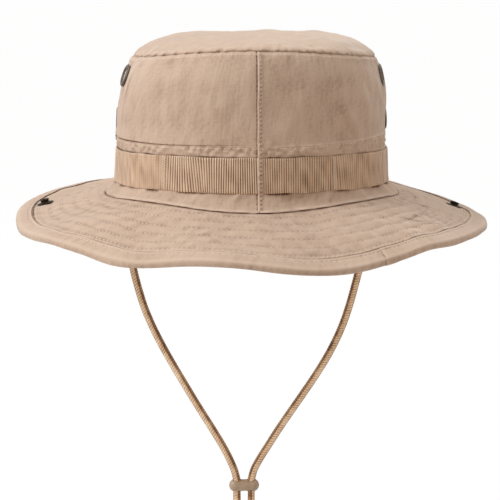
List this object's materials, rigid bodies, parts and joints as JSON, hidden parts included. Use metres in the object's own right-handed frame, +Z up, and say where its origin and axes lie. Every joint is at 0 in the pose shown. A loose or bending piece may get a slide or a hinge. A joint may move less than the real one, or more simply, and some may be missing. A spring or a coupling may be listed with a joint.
{
  "type": "boonie hat",
  "caption": "Soft khaki boonie hat: domed crown with meshed vents and a looped webbing band, stitched brim whose sides snap up, and a chin cord with a sliding bead.",
  "frame": {"origin": "middle of the head opening, level with the seam that joins crown and brim", "axes": "+Z up along the crown, -Y to the front of the hat, +X to the right of someone facing the front"},
  "size_m": [0.3186, 0.3386, 0.4015],
  "materials": {
    "cloth": "matt khaki cotton poplin",
    "lining": "matt cotton twill",
    "webbing": "ribbed cotton webbing",
    "binding": "folded cotton tape",
    "vent_metal": "browned brass",
    "screen_wire": "woven wire",
    "snap_metal": "black oxide",
    "cord": "braided cord",
    "bead": "smooth moulded bead"
  },
  "bodies": {
    "hat": {"crown_tip": "cloth", "crown_side_left": "cloth", "crown_side_right": "cloth", "sweatband": "lining", "webbing_band_left": "webbing", "webbing_band_right": "webbing", "brim_upper": "cloth", "brim_interlining": "lining", "brim_under": "cloth", "edge_binding": "binding", "vent_rim_upper_left": "vent_metal", "vent_rim_upper_right": "vent_metal", "vent_rim_lower_left": "vent_metal", "vent_rim_lower_right": "vent_metal", "vent_screen_upper_left": "screen_wire", "vent_screen_upper_right": "screen_wire", "vent_screen_lower_left": "screen_wire", "vent_screen_lower_right": "screen_wire", "vent_washer_upper_left": "vent_metal", "vent_washer_upper_right": "vent_metal", "vent_washer_lower_left": "vent_metal", "vent_washer_lower_right": "vent_metal", "crown_snap_socket_left": "snap_metal", "crown_snap_socket_right": "snap_metal", "crown_snap_cap_left": "snap_metal", "crown_snap_cap_right": "snap_metal", "cord_tab_left": "webbing", "cord_tab_right": "webbing", "cord_left": "cord", "cord_right": "cord", "cord_tail_left": "cord", "cord_tail_right": "cord", "cord_knot": "cord"},
    "brim_flap_left": {"brim_upper_left": "cloth", "brim_interlining_left": "lining", "brim_under_left": "cloth", "edge_binding_left": "binding", "brim_snap_stud_left": "snap_metal", "brim_snap_cap_left": "snap_metal"},
    "brim_flap_right": {"brim_upper_right": "cloth", "brim_interlining_right": "lining", "brim_under_right": "cloth", "edge_binding_right": "binding", "brim_snap_stud_right": "snap_metal", "brim_snap_cap_right": "snap_metal"},
    "slider": {"cord_slider": "bead"}
  },
  "joints": [
    {"name": "brim_fold_left", "type": "hinge", "parent": "hat", "child": "brim_flap_left", "pos_m": [-0.1025, 0, -0.0002], "axis": [0, 1, 0], "range_deg": [0, 112]},
    {"name": "brim_fold_right", "type": "hinge", "parent": "hat", "child": "brim_flap_right", "pos_m": [0.1025, 0, -0.0002], "axis": [0, -1, 0], "range_deg": [0, 116]},
    {"name": "slider_travel", "type": "slide", "parent": "hat", "child": "slider", "axis": [0, 0, 1], "range_m": [-0.05, 0.1], "deforming": ["cord_left", "cord_right", "cord_tail_left", "cord_tail_right"]}
  ]
}
